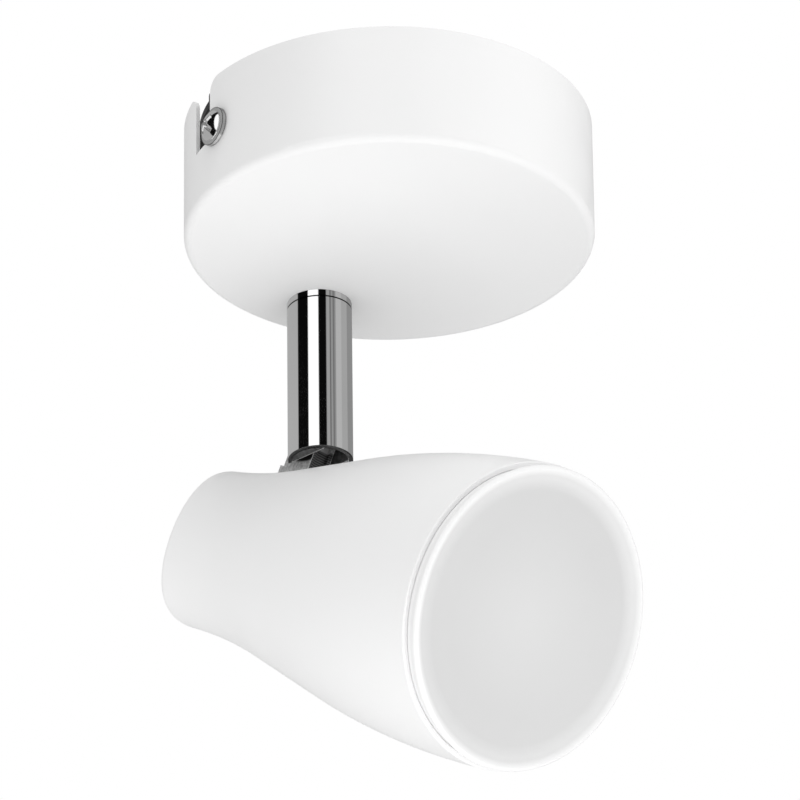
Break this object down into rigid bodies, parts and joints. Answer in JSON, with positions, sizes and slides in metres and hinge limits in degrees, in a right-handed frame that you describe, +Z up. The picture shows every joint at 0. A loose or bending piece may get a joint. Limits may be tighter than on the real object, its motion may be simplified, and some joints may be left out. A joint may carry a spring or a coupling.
{
  "type": "surface mounted ceiling spotlight",
  "caption": "Round surface canopy with an off-centre stem that turns, and a flared spot head with a frosted lens that tilts on a slotted swivel joint.",
  "frame": {"origin": "centre of the face that meets the ceiling, midway between the two slots of the bracket", "axes": "+Z up into the ceiling, the light hangs below z = 0; +X through both side screws and along the bracket's two slots; the stem is on the +Y side"},
  "size_m": [0.0861, 0.1038, 0.1386],
  "materials": {
    "white_paint": "satin white powder coat",
    "zinc_plated": "zinc plated",
    "screw_steel": "nickel plated",
    "chrome": "polished chrome",
    "turned_brass": "turned",
    "threaded_steel": "zinc plated thread",
    "cast_zinc": "satin nickel plated casting",
    "terminal_plastic": "moulded",
    "driver_plastic": "moulded",
    "pad_foam": "foam",
    "bare_aluminium": "as cast",
    "board_white": "white solder mask",
    "chip_phosphor": "phosphor",
    "reflector_plastic": "white",
    "frosted_lens": "frosted opal"
  },
  "bodies": {
    "canopy": {"canopy_cup": "white_paint", "mounting_bracket": "zinc_plated", "canopy_side_screws": "screw_steel", "side_screw_washers": "zinc_plated", "terminal_block": "terminal_plastic", "terminal_inserts": "turned_brass", "terminal_screws": "screw_steel", "terminal_fixing_screws": "screw_steel", "earth_screw": "screw_steel", "earth_washer": "zinc_plated", "led_driver_case": "driver_plastic", "driver_pad": "pad_foam", "pan_washer": "zinc_plated"},
    "stem": {"spring_washer": "zinc_plated", "stem_nut": "zinc_plated", "stem_nipple": "threaded_steel", "stem_collar": "chrome", "stem_bush": "turned_brass", "stem_tube": "chrome", "swivel_fork": "cast_zinc", "pivot_screw": "screw_steel", "friction_washers": "zinc_plated"},
    "head": {"swivel_tongue": "cast_zinc", "tongue_washer": "zinc_plated", "tongue_nut": "zinc_plated", "head_housing": "white_paint", "heat_sink": "bare_aluminium", "led_board": "board_white", "led_chips": "chip_phosphor", "board_screws": "screw_steel", "reflector": "reflector_plastic", "diffuser_lens": "frosted_lens"}
  },
  "joints": [
    {"name": "stem_pan", "type": "hinge", "parent": "canopy", "child": "stem", "pos_m": [0.00186, 0.02794, -0.025], "axis": [0, 0, 1], "range_deg": [-175, 175]},
    {"name": "head_tilt", "type": "hinge", "parent": "stem", "child": "head", "pos_m": [0.00186, 0.02794, -0.0528], "axis": [0.9677, 0.2521, 0], "range_deg": [-28.15, 61.85]}
  ]
}
